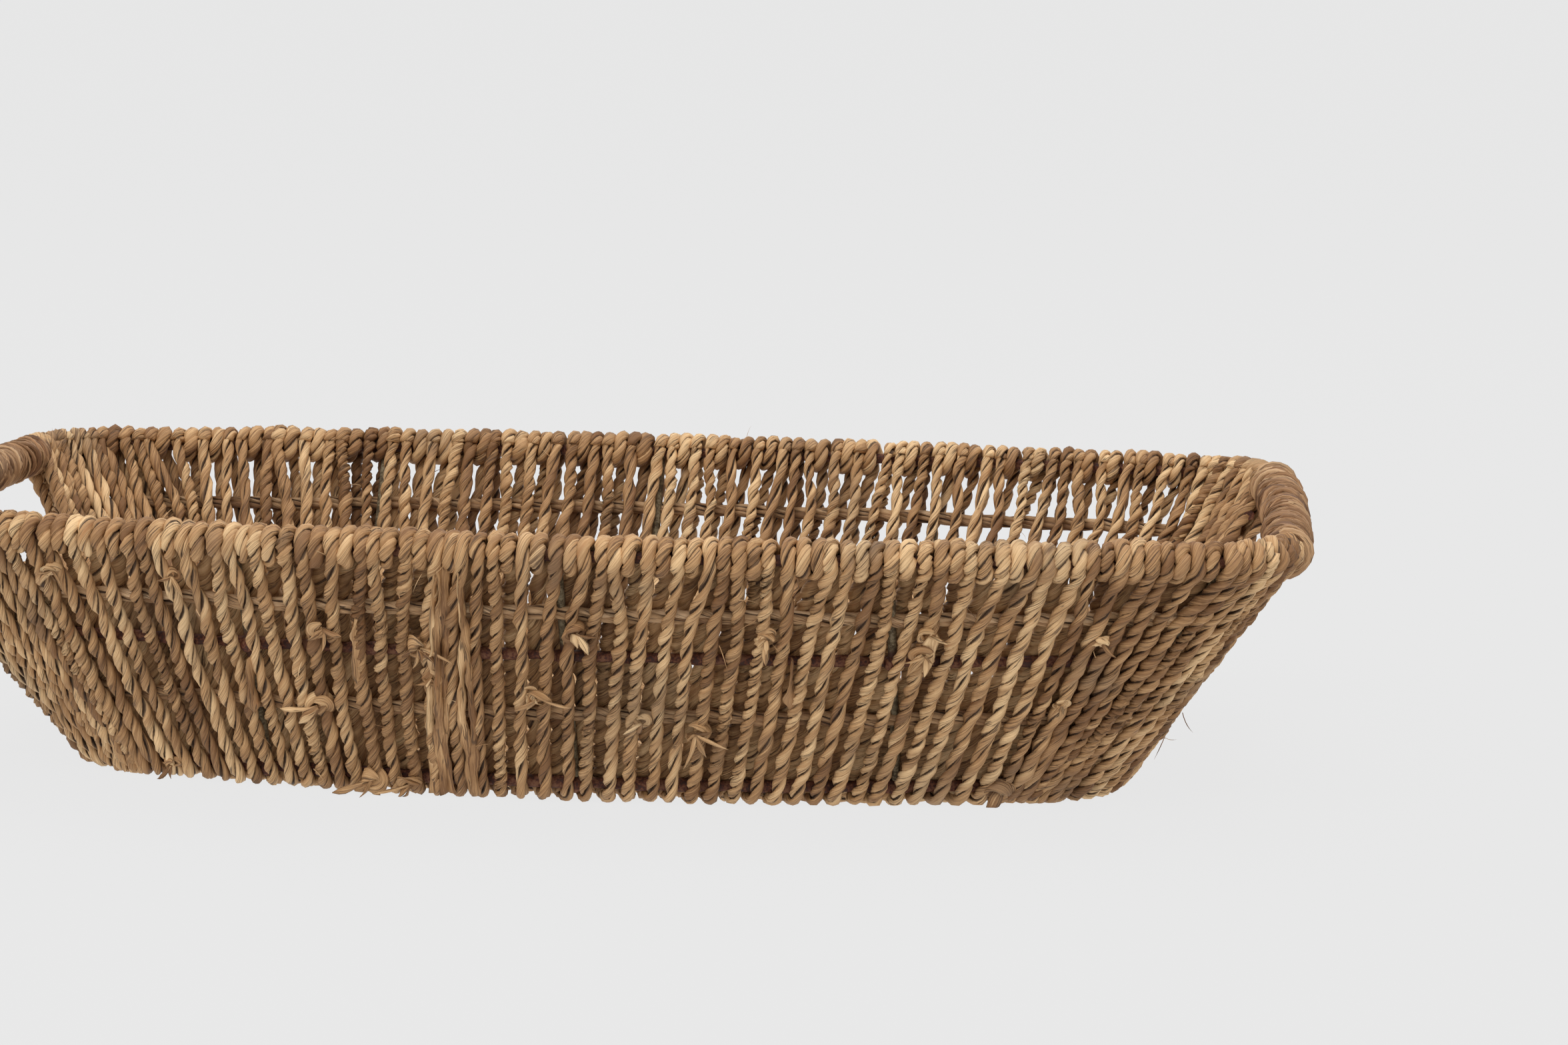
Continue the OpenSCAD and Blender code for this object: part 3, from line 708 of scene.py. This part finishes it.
# ---------------------------------------------------------------- loose leaves, knots and frays
def ride_wall(shares, xs, lift):
    """Points over the front wall at heights and places in mm from its middle, lift outside its ropes."""
    edge = Edge(0.5, 2.5, 3.5)
    shares, xs, lift = np.broadcast_arrays(*(np.asarray(v, float) for v in (shares, xs, lift)))
    x, _, _, _ = outline(shares[:, None], edge.u[None, :])
    u = np.array([edge.u[np.argmin(np.abs(row - place))] for row, place in zip(x, xs)])
    u = 0.5 * (u + np.convolve(np.pad(u, 3, mode="edge"), np.ones(7) / 7, "valid")) if len(u) > 8 else u
    middle, out, _ = wall(shares, u)
    return middle + out * (RUN_D + lift)[:, None], out


def flat_bundle(strands, rim_x, base_x, leaves, width):
    """Leaves that were left untwisted, side by side from the rim to the base."""
    dice = strands.dice
    share = np.linspace(-0.02, 0.985, 60)
    rise = 70 * share
    for leaf in range(leaves):
        shift = (leaf - (leaves - 1) / 2) * width * 0.85
        xs = base_x + (rim_x - base_x) * share + shift * (0.75 + 0.25 * np.sin(5 * share + leaf))
        xs = xs + 0.5 * wander(dice, rise, 30)
        lift = 1.3 + 0.5 * math.sin(2.4 * leaf) + 0.35 * wander(dice, rise, 26)
        tucked = 20.8 * np.clip(share - 0.9, 0, 1)  # its top goes in under the wraps of the rim
        path, out = ride_wall(share, xs, lift - tucked)
        path, out, _ = even(path, out, STEP)
        strands.sweep(path, out, pitch=500.0, plies=1, wide=0.58 * width, thick=0.42, offset=0.0, sides=8,
                      start_turn=dice.normal(0, 0.25), spin=0.35, roll=0.35, ridge=0.2)


def knot(strands, x, share, size, tails):
    """A leaf's end tied down: two small bights with torn tails."""
    dice = strands.dice
    (centre, above), (out, _) = ride_wall([share, share + 0.02], [x, x], 1.4)
    up = unit(above - centre)
    across = np.cross(up, out)
    for _ in range(2):
        turn = np.linspace(0, 2 * math.pi * dice.uniform(0.45, 0.8), 16) + dice.uniform(0, 6.3)
        a, b = 2.1 * size * dice.uniform(0.8, 1.3), 1.5 * size * dice.uniform(0.8, 1.3)
        tilt = dice.uniform(-0.8, 0.8)
        flat = (a * np.cos(turn)[:, None] * (across + tilt * up)
                + b * np.sin(turn)[:, None] * (up - tilt * across))
        path = centre + flat + out * (1.1 * size * np.sin(turn * 0.5 + dice.uniform(0, 3)))[:, None]
        strands.sweep(path, np.tile(out, (len(turn), 1)), pitch=45.0, plies=1, wide=1.5 * size,
                      thick=0.42 * size, offset=0.0, sides=7, taper=(0.4, 0.3), spin=0.6, ridge=0.25)
    for _ in range(tails):
        length = dice.uniform(3.5, 8.0) * size
        part = np.linspace(0, 1, 9)[:, None]
        heading = unit(across * dice.normal(0, 0.8) - up * dice.uniform(0.3, 1.0)
                       + out * dice.uniform(0.05, 0.5))
        curl = unit(across * dice.normal(0, 1) + up * dice.normal(0, 1))
        path = centre + out * 0.6 + heading * length * part + curl * (0.35 * length) * part ** 2
        strands.sweep(path, np.tile(out, (9, 1)), pitch=60.0, plies=1, wide=dice.uniform(0.5, 1.3) * size,
                      thick=0.3, offset=0.0, sides=5, taper=(0.8, 0.12), spin=0.4)


def frays(strands, count):
    """Fine loose fibres that stand off the ropes all round."""
    dice = strands.dice
    for _ in range(count):
        u, share = dice.uniform(0, 4), dice.uniform(0.02, 1.04)
        if abs((u + 1) % 2 - 1) < HOLE_SHARE + 0.03 and share > 0.5:
            continue  # none in the hand holes
        centre, out, up = (v[0] for v in wall(np.array([share]), np.array([u])))
        side = 1 if dice.uniform() < 0.6 else -1
        across = np.cross(up, out)
        length = dice.uniform(3.0, 9.0)
        part = np.linspace(0, 1, 8)[:, None]
        heading = unit(across * dice.normal(0, 0.7) + up * dice.normal(0, 0.8)
                       + out * side * dice.uniform(0.02, 0.35))
        curl = unit(across * dice.normal(0, 1) + up * dice.normal(0, 1))
        start = centre + out * side * (RUN_D + (1.6 if share < 0.95 else 1.4))
        path = start + heading * length * part + curl * (0.3 * length) * part ** 2
        path[:, 2] = np.maximum(path[:, 2], 0.3)
        size = dice.uniform(0.06, 0.18)
        strands.sweep(path, np.tile(out, (8, 1)), pitch=80.0, plies=1, wide=size, thick=size * 0.5,
                      offset=0.0, sides=4, taper=(1, 0.2), spin=0.2)


# Place in mm from the middle of the front, height as a share of the wall, size, tails
KNOTS = (
    (-64.5, 0.70, 1.25, 4), (-69, 0.35, 1.3, 3), (-56, 0.03, 1.5, 5), (-45, 0.02, 1.2, 4),
    (-119, 0.03, 1.0, 3), (166, 0.43, 0.8, 3), (149, 0.71, 0.8, 2), (96, 0.65, 1.1, 4),
    (97.5, 0.74, 1.0, 2), (54.5, 0.71, 0.9, 3), (-7, 0.43, 1.1, 3), (34, 0.29, 1.2, 5),
    (20, 0.33, 0.8, 3), (120, 0.03, 1.5, 2), (-139, 0.90, 1.0, 4), (-105, 0.90, 0.7, 3),
    (-39, 0.63, 1.2, 5), (-36, 0.50, 0.9, 3), (-10, 0.45, 0.8, 2), (4, 0.72, 1.1, 3))
# Place in mm from the middle, and heights of the lower and the upper end
UPRIGHT_LEAVES = ((97.5, 0.58, 0.75), (60, 0.40, 0.62), (-57, 0.45, 0.75), (-88, 0.30, 0.55))


def loose_leaves():
    """Untwisted bundles, knots and single leaves on the front, and frays all round, as one piece."""
    strands = Strands(120)
    flat_bundle(strands, -31, -37, 3, 2.6)
    flat_bundle(strands, -25, -28, 2, 2.4)
    for x, share, size, tails in KNOTS:
        knot(strands, x, share, size, tails)
    for x, low, high in UPRIGHT_LEAVES:
        share = np.linspace(low, high, 16)
        path, out = ride_wall(share, x + 6 * (share - low), 1.2)
        strands.sweep(path, out, pitch=70.0, plies=1, wide=1.7, thick=0.4, offset=0.0, sides=8,
                      taper=(0.15, 0.7), start_turn=0.1, spin=0.4, ridge=0.2)
    frays(strands, 200)
    settle_piece(strands.mesh("loose_leaves"), "seagrass_rope", SEAGRASS)


RIB_PLACES = (-88.0, 0.0, 88.0)       # uprights of a long side, from its middle
BEAD_SIZE = (0.0026, 0.0021, 0.0023)  # half sizes of a weld bead, in metres
CUT_END = (0.1836, 0.0665, 0.0638)    # middle of the cut wire's end, in metres


def welds():
    """A bead where an upright meets a ring wire, and the cut end of a wire in a back corner."""
    spots = []
    for share in (0.0, MIDDLE_SHARE):
        for start in (2.5, 0.5):
            edge = Edge(share, start, start + 1)
            xs = outline(share, edge.u)[0]
            for x in RIB_PLACES:
                middle, out, _ = wall(share, edge.u[np.argmin(np.abs(xs - x))])
                spots.append(Vector((middle + out * 0.9) * MM))
    bpy.ops.object.select_all(action="DESELECT")
    bpy.ops.mesh.primitive_uv_sphere_add(segments=14, ring_count=9, radius=1.0)
    bead = bpy.context.object
    bpy.ops.transform.resize(value=BEAD_SIZE)
    bpy.ops.object.transform_apply(location=False, rotation=False, scale=True)
    bead.location = spots[0]
    dice = np.random.default_rng(130)
    beads = [bead]
    for spot in spots[1:]:
        copy = bead.copy()
        copy.data = bead.data.copy()
        bpy.context.collection.objects.link(copy)
        copy.location = spot
        copy.rotation_euler = dice.uniform(-0.6, 0.6, 3)
        beads.append(copy)
    bpy.ops.mesh.primitive_cylinder_add(vertices=20, radius=0.00165, depth=0.012,
                                        location=CUT_END, rotation=(1.2, 0.0, 0.35))
    stub = bpy.context.object
    edge = stub.modifiers.new("edge", "BEVEL")
    edge.width, edge.segments = 0.00035, 2
    bpy.ops.object.modifier_apply(modifier="edge")
    for piece in beads:
        piece.select_set(True)
    bpy.ops.object.join()
    bpy.ops.object.transform_apply(location=True, rotation=True, scale=True)
    bpy.ops.object.shade_smooth_by_angle(angle=0.7)
    stub.name = "weld_beads"
    settle_piece(stub, "rusty_wire", RUST)


loose_leaves()
welds()


# ---------------------------------------------------------------- camera, floor, light
BACKDROP = (0.807, 0.807, 0.807, 1)


def camera():
    target = Vector((0.0498, 0.0, 0.0687))
    distance, azimuth, elevation, roll = 1.1646, math.radians(5.4), math.radians(8.27), math.radians(0.76)
    toward = Vector((math.sin(azimuth) * math.cos(elevation), -math.cos(azimuth) * math.cos(elevation),
                     math.sin(elevation)))
    right = (-toward).cross(Vector((0, 0, 1))).normalized()
    up = toward.cross(right)
    turned_right = right * math.cos(roll) + up * math.sin(roll)
    turned_up = up * math.cos(roll) - right * math.sin(roll)
    lens = bpy.data.cameras.new("camera")
    lens.lens, lens.sensor_width, lens.clip_start = 92.0, 36.0, 0.01
    eye = bpy.data.objects.new("camera", lens)
    bpy.context.collection.objects.link(eye)
    place = Matrix((turned_right, turned_up, toward)).transposed().to_4x4()
    place.translation = target + toward * distance
    eye.matrix_world = place
    bpy.context.scene.camera = eye


def studio():
    bpy.ops.mesh.primitive_plane_add(size=90, location=(0, 0, 0))
    ground = bpy.context.object
    ground.name = "studio_floor"
    f = Finish("studio_floor")
    f.surface({}, Base_Color=(0.03, 0.03, 0.03, 1), Roughness=1.0, Specular_IOR_Level=0.0,
              Emission_Color=BACKDROP, Emission_Strength=0.955)
    ground.data.materials.append(f.material)
    world = bpy.data.worlds.new("studio")
    bpy.context.scene.world = world
    world.use_nodes = True
    sky = world.node_tree.nodes["Background"]
    sky.inputs["Color"].default_value = BACKDROP
    sky.inputs["Strength"].default_value = 1.0
    for name, place, size, power in (("key", (-0.5, -1.5, 1.7), 1.2, 19.5),
                                     ("top", (0.3, 0.4, 2.0), 1.6, 11.0)):
        lamp = bpy.data.lights.new(name, "AREA")
        lamp.size, lamp.energy = size, power
        holder = bpy.data.objects.new(name, lamp)
        holder.location = place
        holder.rotation_euler = (Vector((0, 0, 0.04)) - Vector(place)).to_track_quat("-Z", "Y").to_euler()
        bpy.context.collection.objects.link(holder)
    bpy.context.scene.view_settings.view_transform = "Standard"


bpy.ops.object.select_all(action="DESELECT")
camera()
studio()
